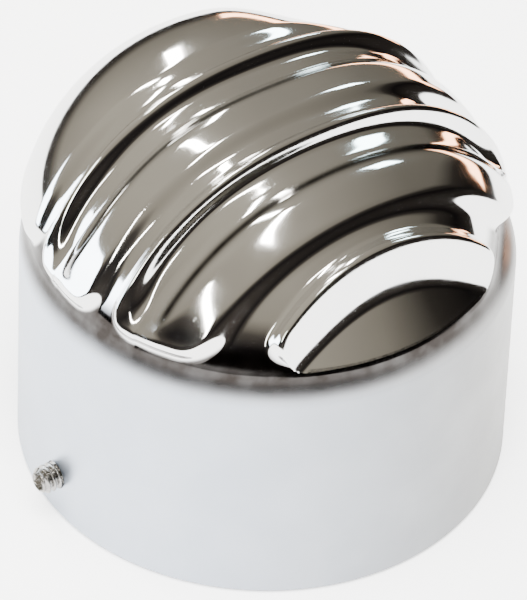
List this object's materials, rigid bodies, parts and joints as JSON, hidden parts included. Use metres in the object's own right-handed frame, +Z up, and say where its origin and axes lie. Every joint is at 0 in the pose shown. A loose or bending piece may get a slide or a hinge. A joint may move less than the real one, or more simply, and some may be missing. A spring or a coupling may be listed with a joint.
{
  "type": "air filter housing",
  "caption": "Polished cast air scoop with a ribbed dome: clamps on a carburettor neck with set screws and holds a mouth screen and a round filter.",
  "frame": {"origin": "centre of the base rim, on the plane it stands on", "axes": "+Z up along the neck's axis; -Y out of the air mouth; +X through the right-hand set screw"},
  "size_m": [0.0892, 0.0824, 0.074],
  "materials": {
    "polished_aluminium": "mirror polished sand casting",
    "gasket_rubber": "smooth matte rubber",
    "wire_gauze": "bright woven wire",
    "filter_foam": "open-cell foam",
    "spring_steel": "plated spring steel",
    "rivet_aluminium": "bright rivet",
    "screw_steel": "plated machine screw",
    "pad_brass": "turned brass"
  },
  "bodies": {
    "housing": {"scoop_shell": "polished_aluminium", "neck_gasket": "gasket_rubber", "lower_gauze": "wire_gauze", "filter_foam": "filter_foam", "upper_gauze": "wire_gauze", "snap_ring": "spring_steel", "mouth_screen": "wire_gauze", "screen_frame": "spring_steel", "screen_rivet_right": "rivet_aluminium", "screen_rivet_left": "rivet_aluminium"},
    "pad_right": {"screw_pad_right": "pad_brass"},
    "pad_left": {"screw_pad_left": "pad_brass"},
    "screw_right": {"set_screw_right": "screw_steel"},
    "screw_left": {"set_screw_left": "screw_steel"}
  },
  "joints": [
    {"name": "travel_right", "type": "slide", "parent": "housing", "child": "pad_right", "axis": [-1, 0, 0], "range_m": [-0.003, 0.003]},
    {"name": "turn_right", "type": "hinge", "parent": "pad_right", "child": "screw_right", "pos_m": [0.04, 0, 0.00825], "axis": [-1, 0, 0], "range_deg": [-1030, 1030]},
    {"name": "travel_left", "type": "slide", "parent": "housing", "child": "pad_left", "axis": [1, 0, 0], "range_m": [-0.003, 0.003]},
    {"name": "turn_left", "type": "hinge", "parent": "pad_left", "child": "screw_left", "pos_m": [-0.04, 0, 0.00825], "axis": [1, 0, 0], "range_deg": [-1030, 1030]}
  ],
  "couplings": [
    {"joint": "turn_right", "follows": "travel_right", "rad_per_m": 5938.7},
    {"joint": "turn_left", "follows": "travel_left", "rad_per_m": 5938.7}
  ]
}
